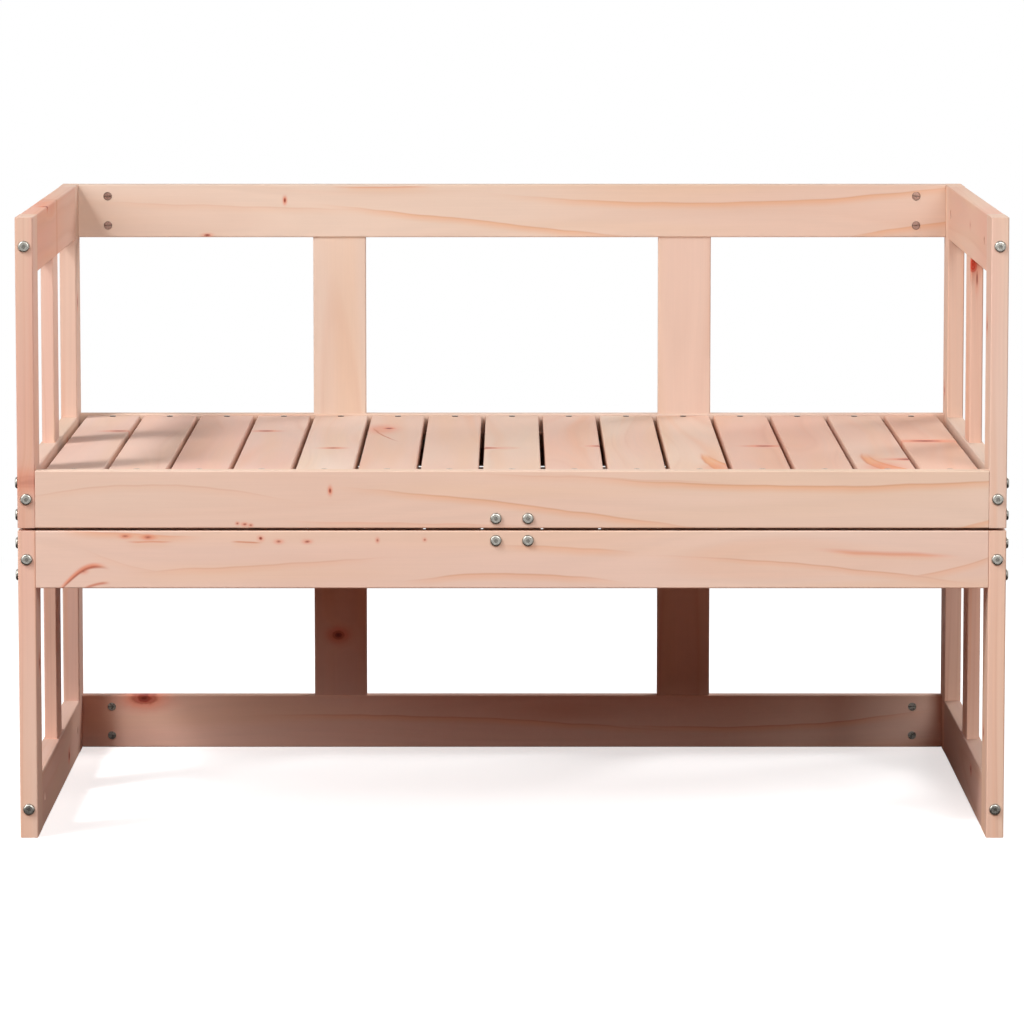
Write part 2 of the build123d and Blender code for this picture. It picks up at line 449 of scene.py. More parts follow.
def buildFirKnot(plan):
    given = startGroup("firKnot", "Vector Place", "Size Stretch Dark Glow Deep Mid Half")
    size = given["Size"]
    along, across, through = split(vectorCalc("SUBTRACT", given["Vector"], given["Place"]))
    flat = gather(calc("DIVIDE", along, given["Stretch"]), across, times(through, given["Deep"]))
    rag = scaled(noiseSwing(scaled(given["Vector"], *plan["rag"])), 1.0, 1.0, 0.0)
    coarse = calc("MINIMUM", times(size, plan["ragShare"]), plan["ragMost"])
    ragged = vectorCalc("ADD", flat, grown(rag, coarse))
    radius = calc("DIVIDE", vectorCalc("LENGTH", ragged), size)
    clean = calc("DIVIDE", vectorCalc("LENGTH", flat), size)
    here = withinSlat(given)
    dark = times(here, given["Dark"])
    wave, depth = calc("COSINE", times(radius, plan["ringPace"])), plan["ringDepth"]
    rings = calc("MULTIPLY_ADD", wave, depth, 1 - depth)
    halo = calc("POWER", fadeOut(radius, *plan["halo"]), plan["haloPower"])
    swell = calc("POWER", plan["swellBase"], times(clean, clean, plan["swellFall"]))
    return endGroup(
        Core=times(fadeOut(radius, *plan["core"]), rings, dark),
        Heart=times(fadeOut(radius, *plan["heart"]), dark),
        Halo=times(halo, here, given["Glow"]), Bend=times(swell, size, here))


streakShape = {"waver": (22.0, 30.0, 30.0), "waverReach": 0.004, "fullShare": 0.35,
               "edge": (-0.0015, 0.0005)}


def buildFirStreak(plan):
    given = startGroup("firStreak", "Vector Place", "Reach Slope Curve Width Soft Mid Half")
    along, across = split(vectorCalc("SUBTRACT", given["Vector"], given["Place"]))[:2]
    path = times(calc("MULTIPLY_ADD", along, given["Curve"], given["Slope"]), along)
    waver = noiseAt(scaled(given["Vector"], *plan["waver"]), 1.0)
    waver = times(calc("SUBTRACT", waver, 0.5), plan["waverReach"])
    off = calc("ADD", calc("SUBTRACT", across, path), waver)
    full = times(given["Reach"], plan["fullShare"])
    lasting = fadeOut(calc("ABSOLUTE", along), full, given["Reach"])
    lasting = times(lasting, withinSlat(given))
    line = fadeOut(calc("ABSOLUTE", off), 0.0, given["Width"])
    inward = times(off, calc("SIGN", given["Soft"]))  # the shaded side of the line
    shade = fadeOut(inward, 0.0, calc("ABSOLUTE", given["Soft"]))
    edge = between(inward, *plan["edge"])
    return endGroup(Line=times(line, lasting), Shade=times(shade, edge, lasting))


firZones = {"pink": (0.34, 0.66), "sandy": (0.42, 0.74, 0.0, 0.55), "haloShare": 0.8, "coreRough": -0.12,
            "fibreShade": (0.28, 0.72, 0.972, 1.022), "fibreRough": (0.25, 0.75, 0.52, 0.66)}


def buildFirColour(plan):
    given = startGroup(
        "firColour", "", "Late Tone Sand Fibre Streak Core Heart Halo Resin Blush", "Tint")
    pink = times(between(given["Tone"], *plan["pink"]), given["Blush"])
    sandy = between(given["Sand"], *plan["sandy"])
    wood = fir["pale"]
    glow = times(given["Halo"], plan["haloShare"])
    for share, colour in ((pink, "blush"), (sandy, "sand"), (given["Streak"], "orange"),
                          (given["Late"], "late"), (glow, "knotHalo"), (given["Core"], "knotCore"),
                          (given["Heart"], "knotHeart"), (given["Resin"], "resin")):
        wood = blendColour(share, wood, fir[colour])
    wood = blendColour(1.0, wood, given["Tint"], "MULTIPLY")
    shade = between(given["Fibre"], *plan["fibreShade"])
    grey = addNode("CombineColor", shade, shade, shade).outputs[0]
    rough = between(given["Fibre"], *plan["fibreRough"])
    return endGroup(Color=blendColour(1.0, wood, grey, "MULTIPLY"),
                    Roughness=calc("MULTIPLY_ADD", given["Core"], plan["coreRough"], rough))


firGrain = buildFirGrain(firRings)
firKnot = buildFirKnot(knotShape)
firStreak = buildFirStreak(streakShape)
firColour = buildFirColour(firZones)

# which way a board's grain and its broad face lie
grainAlong = {"rail": (right, -back), "side": (back, right), "post": (up, right), "backSlat": (up, -back),
              "seat": (back, up)}


def boardSpace(place, low, high, lie):
    along, through = grainAlong[lie]
    turn = Matrix((along, through.cross(along), through))
    return addNode("Mapping", place, -(turn @ ((low + high) / 2)), turn.to_euler("XYZ")).outputs[0]


def knot(along, across, size, stretch=1.5, dark=1.0, glow=0.8, through=0.0, deep=0.0, resin=False):
    return {"Place": (along, across, through), "resin": resin,
            "shape": {"Size": size, "Stretch": stretch, "Dark": dark, "Glow": glow, "Deep": deep}}


def streak(along, across, reach, slope, curve, brown=0.5, orange=0.4, red=0.0, width=0.0016, soft=-0.01,
           dark=0.0):
    return {"Place": (along, across, 0.0), "brown": brown, "orange": orange, "red": red, "dark": dark,
            "shape": {"Reach": reach, "Slope": slope, "Curve": curve, "Width": width, "Soft": soft}}


# shift is a board's place in the log; knots and lines are rows of what knot and streak take
def plank(shift, pith=(0.006, -0.075), ringGap=0.0085, wander=0.016, line=0.35, orange=0.35, blush=0.7,
          tint=(1.0, 1.0, 1.0), knots=(), lines=()):
    return {"shift": shift, "pith": pith, "ringGap": ringGap, "wander": wander, "line": line,
            "orange": orange, "blush": blush, "tint": tint, "knots": [knot(*row) for row in knots],
            "lines": [streak(*row) for row in lines]}


anyWidth = 1.0  # wider than every board


def placeMark(group, mark, space, slats):
    middle, half = 0.0, anyWidth
    if slats:  # a mark ends where its slat does
        middle = (math.floor(mark["Place"][1] / slats["pitch"]) + 0.5) * slats["pitch"]
        half = slats["width"] / 2 + slats["markSlack"]
    return placeGroup(group, Vector=space, Place=mark["Place"], Mid=middle, Half=half, **mark["shape"])


def splitSlats(space, look, slats):  # every slat of the seat is cut from another board
    number = calc("ADD", calc("FLOOR", calc("DIVIDE", split(space)[1], slats["pitch"])), 0.5)
    chance = chanceOf(calc("ADD", number, look["shift"]))
    count = len(slats["tints"])
    tint = ramp(calc("DIVIDE", number, -count),
                [(place / count, shade) for place, shade in enumerate(slats["tints"])], "CONSTANT")
    local = vectorCalc("SUBTRACT", space, gather(None, times(number, slats["pitch"])))
    across = between(chance["Color"], 0.0, 1.0, *slats["pithSpread"])
    shift = times(chance["Value"], slats["shiftSpread"])
    return shift, tint, local, gather(None, across, look["pith"][1])


def firMaterial(name, low, high, lie, look, slats=None):
    material, shader, place = startMaterial(name)
    space = boardSpace(place, low, high, lie)
    shift, tint, local, pith = look["shift"], look["tint"] + (1.0,), space, (0.0,) + look["pith"]
    if slats:
        shift, tint, local, pith = splitSlats(space, look, slats)
    core, heart, halo, resin, bend = 0.0, 0.0, 0.0, 0.0, 0.0
    for mark in look["knots"]:
        seen = placeMark(firKnot, mark, space, slats)
        if mark["resin"]:
            resin = largest(seen["Core"], seen["Heart"], resin)
        else:
            core = largest(seen["Core"], core)
            heart = largest(seen["Heart"], heart)
        halo = largest(seen["Halo"], halo)
        bend = calc("ADD", seen["Bend"], bend)
    raised = vectorCalc("ADD", local, gather(None, None, bend))
    grain = placeGroup(firGrain, Vector=raised, Shift=shift, Pith=pith, Gap=look["ringGap"],
                       Wander=look["wander"])
    late = times(grain["Late"], look["line"])
    glow = times(grain["Streak"], look["orange"])
    for mark in look["lines"]:
        seen = placeMark(firStreak, mark, space, slats)
        late = largest(late, times(seen["Line"], mark["brown"]))
        glow = largest(glow, times(seen["Shade"], mark["orange"]))
        if mark["red"]:
            halo = largest(halo, times(seen["Line"], mark["red"]))
        if mark["dark"]:
            core = largest(core, times(seen["Line"], mark["dark"]))
    zones = {label: grain[label] for label in ("Tone", "Sand", "Fibre")}
    finish = placeGroup(firColour, Late=late, Streak=glow, Core=core, Heart=heart, Halo=halo, Resin=resin,
                        Blush=look["blush"], Tint=tint, **zones)
    setShader(shader, finish["Color"], finish["Roughness"], grain["Height"], fir["relief"])
    shader.inputs["Specular IOR Level"].default_value = fir["shine"]
    return material


# boards

planing = {"roundOver": 0.0017, "roundSteps": 4, "endBreak": 0.0006, "endSteps": 2, "smooth": 50}


def planeBoard(name, low, high, lie):
    board = addBlock(name, low, high)
    axis = list(grainAlong[lie][0]).index(1)
    bevelEdges(board, planing["roundOver"], planing["roundSteps"], lambda edge: runs(edge, axis) > touching)
    bevelEdges(board, planing["endBreak"], planing["endSteps"], lambda edge: runs(edge, axis) < touching)
    return board


barrelHole = {"radius": 0.0053, "depth": 0.016, "shortReach": 0.0565, "longReach": 0.0965,
              "postThickness": 0.02, "postWidth": 0.065, "pair": 0.036, "sides": 24}


def boreHoles(board, plan, mouths, inward):
    for mouth in mouths:
        drill = addRod("drill", plan["sides"], plan["radius"], mouth - inward * overcut * 2,
                       mouth + inward * plan["depth"])
        cutAway(board, drill)


def backrestHoles(board, low, high):
    inset, half = barrelHole["shortReach"] - barrelHole["postThickness"], barrelHole["pair"] / 2
    level = (low.z + high.z) / 2
    mouths = [Vector((x, low.y, level + rise))
              for x in (low.x + inset, high.x - inset) for rise in (-half, half)]
    boreHoles(board, barrelHole, mouths, back)


def sideHoles(board, low, high):
    inset = barrelHole["longReach"] - barrelHole["postWidth"]
    mouths = [Vector((low.x, y, (low.z + high.z) / 2)) for y in (low.y + inset, high.y - inset)]
    boreHoles(board, barrelHole, mouths, right)


def dressBoard(obj, plan, key):
    node = key + "_" + plan["board"]
    material = firMaterial(obj.name + "Fir", *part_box(node), plan["lie"], plan[key])
    setPiece(obj, material, key.split("_")[0] + "_frame", "douglas_fir", node)


def makeBoards(plan):
    pairs = [("upper", "lower")]
    if "upper" not in plan:  # a board turned over changes sides
        pairs = [("upper_left", "lower_right"), ("upper_right", "lower_left")]
    first, firstLow = None, None
    for key, turnedKey in pairs:
        node = key + "_" + plan["board"]
        low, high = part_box(node)
        if first is None:
            upper = planeBoard(pieceName(node), low, high, plan["lie"])
            if "holes" in plan:
                plan["holes"](upper, low, high)
            smoothEdges(upper, planing["smooth"])
            first, firstLow = upper, low
        else:
            upper = copyOf(first, pieceName(node))
            bpy.ops.transform.translate(value=low - firstLow)
            applyPlace(upper)
        lower = turnOver(upper, pieceName(turnedKey + "_" + plan["board"]))
        dressBoard(upper, plan, key)
        dressBoard(lower, plan, turnedKey)
    print("boards made:", plan["board"])


frontRail = {
    "board": "front_rail", "lie": "rail",
    "upper": plank(
        2.3, pith=(0.014, -0.085), blush=0.4, orange=0.2, line=0.15, wander=0.02, tint=(1.01, 1.04, 1.03),
        knots=[(-0.204, 0.01, 0.003, 0.5, 0.8, 0.9), (-0.3, -0.028, 0.0014, 1.6, 0.6, 0.7),
               (-0.308, -0.027, 0.0012, 1.2, 0.6, 0.7), (-0.293, -0.029, 0.0012, 1.4, 0.5, 0.7)],
        lines=[(0.02, -0.007, 0.24, -0.12, -0.1, 0.45, 0.55), (0.34, 0.0146, 0.34, 0.0, 0.16, 0.5, 0.65),
               (-0.405, 0.0165, 0.19, 0.0, -0.75, 0.3, 0.15), (0.52, -0.028, 0.07, 0.25, 0.0, 0.1, 0.6),
               (-0.12, -0.027, 0.16, -0.02, 0.0, 0.1, 0.3, 0.1),
               (0.1, 0.024, 0.16, -0.04, 0.0, 0.25, 0.2)]),
    "lower": plank(
        7.9, pith=(-0.01, -0.09), blush=0.3, orange=0.2, line=0.15, wander=0.024, tint=(1.03, 1.04, 1.05),
        knots=[(-0.4085, 0.0254, 0.0018, 2.6, 0.4, 0.8), (-0.434, 0.0266, 0.0016, 2.4, 0.4, 0.7),
               (-0.282, 0.024, 0.0019, 1.2, 0.9, 0.5), (-0.262, 0.0205, 0.0016, 2.0, 0.5, 0.6),
               (-0.23, 0.0205, 0.0016, 2.0, 0.6, 0.6), (-0.151, 0.022, 0.0018, 0.8, 0.5, 0.6),
               (-0.098, 0.0225, 0.0014, 1.0, 0.5, 0.5), (-0.482, -0.013, 0.0018, 1.8, 0.35, 0.6)],
        lines=[(-0.4837, -0.0135, 0.034, 0.574, -15.0, 0.2, 0.6, 0.0, 0.0026, 0.006, 0.65),
               (-0.4842, -0.0118, 0.032, 0.574, -15.0, 0.0, 0.0, 0.85, 0.0048),
               (-0.467, -0.0278, 0.017, 0.22, -8.0, 0.1, 0.3, 0.6, 0.0026, 0.004, 0.35),
               (-0.28, -0.0065, 0.17, 0.06, 0.05, 0.35, 0.3),
               (-0.43, -0.006, 0.06, -0.27, 1.5, 0.12, 0.1), (0.0, -0.0157, 0.14, 0.0, -0.6, 0.45, 0.5),
               (0.34, -0.0066, 0.2, -0.09, -0.15, 0.45, 0.45),
               (0.5, -0.009, 0.07, 0.28, 1.5, 0.35, 0.4),
               (0.42, 0.0072, 0.09, -0.05, 0.0, 0.2, 0.45, 0.45, 0.004),
               (-0.407, 0.0204, 0.03, 0.0, 0.0, 0.5, 0.2, 0.5),
               (-0.298, 0.0198, 0.02, -0.02, 0.0, 0.9, 0.2, 0.3),
               (-0.43, 0.029, 0.09, -0.05, 0.0, 0.0, 0.6, 0.25),
               (0.06, 0.014, 0.09, -0.05, -0.3, 0.25, 0.45)]),
}
rearRail = {
    "board": "rear_rail", "lie": "rail",
    "upper": plank(12.4, pith=(0.02, -0.08), knots=[(0.31, 0.01, 0.006, 1.4)]),
    "lower": plank(15.8, pith=(0.0, -0.07),
                   knots=[(-0.12, -0.014, 0.005, 1.3), (0.37, 0.02, 0.0025, 2.0)]),
}
backrestRail = {
    "board": "backrest_rail", "lie": "rail", "holes": backrestHoles,
    "upper": plank(
        27.1, pith=(-0.004, -0.082), blush=0.35, orange=0.15, line=0.15, wander=0.018,
        tint=(0.945, 0.98, 0.98),
        knots=[(-0.28, 0.013, 0.003, 0.5, 0.9, 0.9), (-0.376, -0.03, 0.0016, 2.6, 0.8, 0.6)],
        lines=[(0.3, 0.0105, 0.36, 0.03, 0.2, 0.35, 0.65),
               (-0.03, -0.0135, 0.23, -0.105, 0.0, 0.35, 0.6),
               (0.49, -0.0195, 0.09, 0.15, -0.5, 0.3, 0.6), (-0.35, 0.006, 0.2, -0.03, 0.0, 0.22, 0.2),
               (-0.16, 0.029, 0.07, 0.0, 0.0, 0.3, 0.3, 0.35)]),
    "lower": plank(
        25.2, pith=(0.012, -0.08), blush=0.85, line=0.5, orange=0.4, tint=(1.12, 1.03, 1.02),
        knots=[(-0.458, 0.029, 0.0085, 2.1, 0.9, 0.9)],
        lines=[(-0.05, 0.004, 0.3, -0.04, -0.1, 0.6, 0.5), (0.33, -0.006, 0.22, 0.05, 0.3, 0.6, 0.5)]),
}
sideRail = {
    "board": "side_rail", "lie": "side", "holes": sideHoles,
    "upper_left": plank(31.1, knots=[(0.12, 0.014, 0.005, 1.5)]),
    "upper_right": plank(33.6, pith=(0.02, -0.08), knots=[(-0.09, -0.012, 0.0035, 1.8)]),
    "lower_left": plank(36.2, pith=(-0.02, -0.08), knots=[(-0.15, 0.004, 0.006, 1.4)]),
    "lower_right": plank(38.5, knots=[(0.05, 0.018, 0.003, 1.6)]),
}
armRail = {
    "board": "arm_rail", "lie": "side", "holes": sideHoles,
    "upper_left": plank(
        41.3, blush=1.3, tint=(0.955, 0.83, 0.8),
        knots=[(-0.138, 0.033, 0.0042, 1.8, 0.9, 0.9, 0.009, 0.7), (-0.075, 0.033, 0.007, 4.0, 0.0, 0.4)],
        lines=[(-0.005, 0.0, 0.06, 30.0, 0.0, 0.55, 0.0, 0.15, 0.42)]),
    "upper_right": plank(43.9, pith=(0.015, -0.08), blush=0.9, tint=(1.03, 0.97, 0.93),
                         knots=[(-0.05, 0.006, 0.0034, 2.0, 0.25, 0.3)]),
    "lower_left": plank(46.4, pith=(-0.015, -0.08), knots=[(0.11, -0.01, 0.0055, 1.5)]),
    "lower_right": plank(48.8, tint=(0.9, 0.88, 0.88), knots=[(-0.13, 0.012, 0.004, 1.5)]),
}
frontPost = {
    "board": "front_post", "lie": "post",
    "upper_left": plank(51.6, blush=1.3, orange=0.5, tint=(0.95, 0.93, 0.92),
                        knots=[(-0.122, 0.03, 0.005, 1.8, 0.2, 0.5)]),
    "upper_right": plank(53.2, blush=0.6, knots=[(0.05, -0.014, 0.0045, 1.5)]),
    "lower_left": plank(56.7, blush=0.9, tint=(1.05, 1.0, 0.98), knots=[(0.02, -0.006, 0.005, 1.4)]),
    "lower_right": plank(58.1, blush=0.6, tint=(1.06, 1.05, 1.0), knots=[(-0.06, -0.01, 0.004, 1.6)]),
}
rearPost = {
    "board": "rear_post", "lie": "post",
    "upper_left": plank(61.4, tint=(0.97, 0.92, 0.9), knots=[(0.03, 0.012, 0.004, 1.7)]),
    "upper_right": plank(63.7, blush=0.3, tint=(1.05, 1.0, 0.96), knots=[(-0.08, -0.006, 0.0045, 1.5)]),
    "lower_left": plank(66.3, tint=(1.05, 1.02, 1.02), knots=[(0.07, 0.005, 0.005, 1.4)]),
    # painted light: the lower right rear post's tint is raised to lift the shade it stands in
    "lower_right": plank(68.9, tint=(1.12, 1.1, 1.08), knots=[(-0.02, 0.016, 0.0035, 1.8)]),
}
armSlat = {
    "board": "arm_slat", "lie": "post",
    "upper_left": plank(71.2, blush=0.9, orange=0.7),
    "upper_right": plank(73.8, blush=0.6, orange=0.6, tint=(1.03, 0.98, 0.94),
                         knots=[(0.1, 0.0325, 0.0072, 1.3, 0.95, 0.6, -0.005, 1.3, True),
                                (0.084, 0.0325, 0.0013, 8.0, 0.6, 0.4, 0.0, 1.0)]),
    "lower_left": plank(76.1, blush=1.3, tint=(1.06, 0.99, 0.97), knots=[(0.03, -0.01, 0.005, 1.6)]),
    # painted light: the lower right arm slat's tint is raised to lift the shade it stands in
    "lower_right": plank(78.6, orange=0.8, tint=(1.12, 1.08, 1.04)),
}
backSlat = {
    "board": "back_slat", "lie": "backSlat",
    "upper_left": plank(81.5, blush=0.0, orange=0.12, tint=(0.97, 1.0, 1.01)),
    "upper_right": plank(83.3, blush=0.5, orange=0.4, tint=(0.96, 0.97, 0.98)),
    "lower_left": plank(86.8, blush=1.0, tint=(0.92, 0.92, 0.94),
                        knots=[(-0.034, 0.003, 0.0085, 0.75, 0.9, 0.9)]),
    "lower_right": plank(88.2, blush=0.7, tint=(1.02, 1.04, 1.08), knots=[(0.05, 0.012, 0.004, 1.8, 0.7)]),
}
frontLedger = {
    "board": "front_ledger", "lie": "rail",
    "upper": plank(91.3, knots=[(0.22, 0.002, 0.003)]),
    "lower": plank(93.1, knots=[(-0.17, -0.002, 0.0035)]),
}
rearLedger = {
    "board": "rear_ledger", "lie": "rail",
    "upper": plank(96.2, knots=[(-0.31, 0.003, 0.003)]),
    "lower": plank(98.4, knots=[(0.12, 0.0, 0.0032)]),
}
centreStretcher = {
    "board": "centre_stretcher", "lie": "seat",
    "upper": plank(101.3, knots=[(0.13, 0.01, 0.005)]),
    "lower": plank(103.9, knots=[(-0.08, -0.012, 0.0045)]),
}
for plan in (frontRail, rearRail, backrestRail, sideRail, armRail, frontPost, rearPost, armSlat, backSlat,
             frontLedger, rearLedger, centreStretcher):
    makeBoards(plan)


# seat slats

seatSlats = {
    "count": 15, "width": 0.065, "screwInset": 0.01, "smooth": 40,
    "pithSpread": (-0.045, 0.045), "shiftSpread": 40.0, "markSlack": 0.001,
    "sink": {"foot": 0.0015, "mouth": 0.004945, "height": 0.00442, "below": 0.0017, "sides": 24},
    "tints": [(0.98, 0.97, 0.99), (1.03, 0.97, 0.97), (1.01, 0.93, 0.93), (0.99, 0.94, 0.95),
              (1.02, 1.05, 1.07), (0.96, 0.88, 0.86), (0.96, 0.91, 0.89), (0.97, 0.96, 0.94),
              (0.98, 0.88, 0.86), (0.98, 0.96, 0.94), (1.01, 0.98, 0.96), (0.97, 0.83, 0.8),
              (0.98, 0.87, 0.83), (0.99, 0.91, 0.89), (1.0, 0.86, 0.81)],
    "upper": plank(  # marks by their place on the seat
        111.7, ringGap=0.011, wander=0.022, blush=0.6, line=0.22, orange=0.3,
        knots=[(-0.474, 0.128, 0.011, 0.55), (-0.296, 0.128, 0.01, 0.6),
               (-0.209, -0.075, 0.0085, 0.7, 0.7), (-0.031, -0.075, 0.015, 0.45, 0.9),
               (0.102, -0.052, 0.008, 0.7, 0.9), (0.296, -0.052, 0.012, 0.5), (0.489, 0.007, 0.02, 0.45),
               (0.456, -0.203, 0.016, 0.5), (-0.149, 0.16, 0.005, 1.6, 1.0, 1.0),
               (-0.156, 0.15, 0.01, 3.0, 0.0, 0.55), (0.236, -0.3, 0.011, 2.6, 0.0, 0.45),
               (0.421, -0.29, 0.011, 2.6, 0.0, 0.5)],
        lines=[(-0.156, 0.084, 0.095, 0.2, -0.75, 0.7, 0.0, 0.35, 0.0026, -0.004, 0.25),
               (0.2217, -0.25, 0.135, 0.085, -0.53, 0.6, 1.0, 0.2, 0.003, -0.026),
               (0.2417, -0.25, 0.12, 0.28, -1.22, 0.4, 1.0, 0.1, 0.003, 0.018),
               (0.4063, -0.25, 0.135, 0.118, -0.86, 0.7, 1.0, 0.25, 0.003, -0.026),
               (0.4242, -0.25, 0.12, 0.268, -1.29, 0.4, 1.0, 0.15, 0.003, 0.018)]),
    "lower": plank(
        131.2, ringGap=0.01, wander=0.02, blush=0.6, line=0.3, orange=0.4,
        knots=[(-0.39, 0.21, 0.009, 1.4), (-0.1, -0.14, 0.01, 1.3), (0.18, 0.06, 0.008, 1.5),
               (0.33, -0.22, 0.011, 1.2), (0.46, 0.15, 0.007, 1.6)]),
}


def seatSpots(marks, firstX, middleY):  # from seat places to the slats' own directions
    return [dict(mark, Place=(mark["Place"][1] - middleY, firstX - mark["Place"][0], 0.0)) for mark in marks]


def makeSeat(plan):
    low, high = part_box("upper_seat_slats")
    width, sink = plan["width"], plan["sink"]
    pitch = (high.x - low.x - width) / (plan["count"] - 1)
    first = planeBoard("slat", low, Vector((low.x + width, high.y, high.z)), "seat")
    for y in (low.y + plan["screwInset"], high.y - plan["screwInset"]):
        cutAway(first, addShape("countersink", bpy.ops.mesh.primitive_cone_add, vertices=sink["sides"],
                                radius1=sink["foot"], radius2=sink["mouth"], depth=sink["height"],
                                location=(low.x + width / 2, y, high.z - sink["below"])))
    smoothEdges(first, plan["smooth"])
    slats = [first]
    for number in range(1, plan["count"]):
        slats.append(copyOf(first, "slat%d" % number))
        bpy.ops.transform.translate(value=(number * pitch, 0, 0))
    upper = joinAll(slats, "upperSeatSlats")
    lower = turnOver(upper, "lowerSeatSlats")
    for obj, key in ((upper, "upper"), (lower, "lower")):
        edgeLow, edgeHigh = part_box(key + "_seat_slats")
        firstX = edgeLow.x - pitch / 2 + width / 2  # whole pitches from the first slat on
        edgeLow.x, edgeHigh.x = firstX, firstX
        look, middleY = dict(plan[key]), (edgeLow.y + edgeHigh.y) / 2
        for marks in ("knots", "lines"):
            look[marks] = seatSpots(look[marks], firstX, middleY)
        material = firMaterial(obj.name + "Fir", edgeLow, edgeHigh, "seat", look, dict(plan, pitch=pitch))
        setPiece(obj, material, key + "_frame", "douglas_fir", key + "_seat_slats")
    print("seat slats made:", plan["count"])
    return [low.x + width / 2 + number * pitch for number in range(plan["count"])], low, high


slatPlaces, seatLow, seatHigh = makeSeat(seatSlats)


# zinc-plated fasteners

zincFinish = {"bright": srgb(178, 176, 169), "dull": srgb(138, 134, 126), "stain": srgb(96, 84, 74),
              "shade": srgb(46, 38, 34), "brown": srgb(160, 120, 105), "cloud": 160.0,
              "speckle": (3.0, 0.6), "brightRange": (0.3, 0.7), "stainRange": (0.52, 0.75),
              "wearMix": (0.6, 0.4), "rough": (0.3, 0.7, 0.2, 0.42),
              "relief": {"Distance": 0.00004, "Strength": 0.4}}


def buildZincSkin(plan):
    given = startGroup("zincSkin", "Vector", "Grit Stain Brown Rim")
    speckle = noiseAt(grown(given["Vector"], given["Grit"]), *plan["speckle"])
    cloud = noiseAt(grown(given["Vector"], plan["cloud"]))
    dirt = times(between(cloud, *plan["stainRange"]), given["Stain"])
    metal = plan["dull"]
    for share, colour in ((between(speckle, *plan["brightRange"]), "bright"), (dirt, "stain"),
                          # the last input paints shade: the shade colour where the mesh marks a fastener's
                          # edges and hollows
                          (given["Brown"], "brown"), (given["Rim"], "shade")):
        metal = blendColour(share, metal, plan[colour])
    wear = mixOf(cloud, speckle, plan["wearMix"])
    return endGroup(Color=metal, Roughness=between(wear, *plan["rough"]), Height=speckle)


zincSkin = buildZincSkin(zincFinish)


def zincMaterial(name, grit, stain, brown=0.0):
    material, shader, place = startMaterial(name)
    # the mesh's mark of painted shade at edges and hollows
    rim = addNode("Attribute", attribute_name="rim").outputs["Fac"]
    skin = placeGroup(zincSkin, Vector=place, Grit=grit, Stain=stain, Brown=brown, Rim=rim)
    setShader(shader, skin["Color"], skin["Roughness"], skin["Height"], zincFinish["relief"])
    shader.inputs["Metallic"].default_value = 1.0
    return material


metalSmooth = 32  # degrees, past which an edge of a metal piece stays sharp


def markPaintedShade(obj, darkness):  # keeps on the mesh how much painted shade each point gets
    mark = obj.data.attributes.new("rim", "FLOAT", "POINT")
    mark.data.foreach_set("value", [darkness(vert.co) for vert in obj.data.vertices])


def endRim(height, radius):  # edges of the round end at this height
    return lambda edge: all(
        abs(vert.co.z - height) < touching and abs(vert.co.xy.length - radius) < radius * rimSlack
        for vert in edge.verts)


def growDown(obj, height, steps):  # from the face at this height: (new radius share, how far down) in turn
    openEdit(obj, "FACE")
    pick(obj, "faces", lambda face: (
        face.normal.z < -facingShare and abs(face.calc_center_median().z - height) < touching))
    for share, drop in steps:
        bpy.ops.mesh.extrude_region_move(TRANSFORM_OT_translate={"value": (0, 0, -drop)})
        bpy.ops.transform.resize(value=(share, share, 1))
    closeEdit()


frameBolt = {"headRadius": 0.0065, "headHeight": 0.003, "dome": 0.0023, "domeSteps": 5, "edge": 0.0003,
             "socket": 0.0024, "socketDepth": 0.0019, "shank": 0.003, "tip": 0.001, "tipShare": 0.75,
             "shortLength": 0.06, "longLength": 0.1, "sides": 32, "socketSides": 6, "socketSlack": 1.02,
             "socketPaintedShade": 0.45, "rimShare": 0.985, "rimPaintedShade": 0.8}


def makeBolt(plan, kind):
    radius, height, length = plan["headRadius"], plan["headHeight"], plan[kind + "Length"]
    bolt = addDrum(kind + "Bolt", plan["sides"], radius, 0, height)
    bevelEdges(bolt, plan["dome"], plan["domeSteps"], endRim(height, radius))
    bevelEdges(bolt, plan["edge"], 1, endRim(0.0, radius))
    neck = plan["shank"] / (radius - plan["edge"])
    growDown(bolt, 0.0, ((neck, 0.0), (1.0, length - plan["tip"]), (plan["tipShare"], plan["tip"])))
    floor = height - plan["socketDepth"]
    cutAway(bolt, addRod("socket", plan["socketSides"], plan["socket"], up * floor,
                         up * (height + overcut)))
    smoothEdges(bolt, metalSmooth)
    inner, rim, top = plan["socket"] * plan["socketSlack"], radius * plan["rimShare"], height - topSkin

    # painted shade: the socket's hollow and a thin outer edge of the head are darkened
    def darkness(co):
        if co.xy.length < inner and co.z < top:
            return plan["socketPaintedShade"]
        return plan["rimPaintedShade"] if co.xy.length > rim else 0.0

    markPaintedShade(bolt, darkness)
    return bolt


barrelNut = {"radius": 0.005, "length": 0.014, "recess": 0.001, "rim": 0.0006, "rimSteps": 2,
             "slot": (0.012, 0.0016, 0.0015), "thread": 0.0026, "threadReach": 0.008, "boardHalf": 0.01,
             "sides": 28, "threadSides": 16, "slack": 0.12, "sideDark": 0.45}


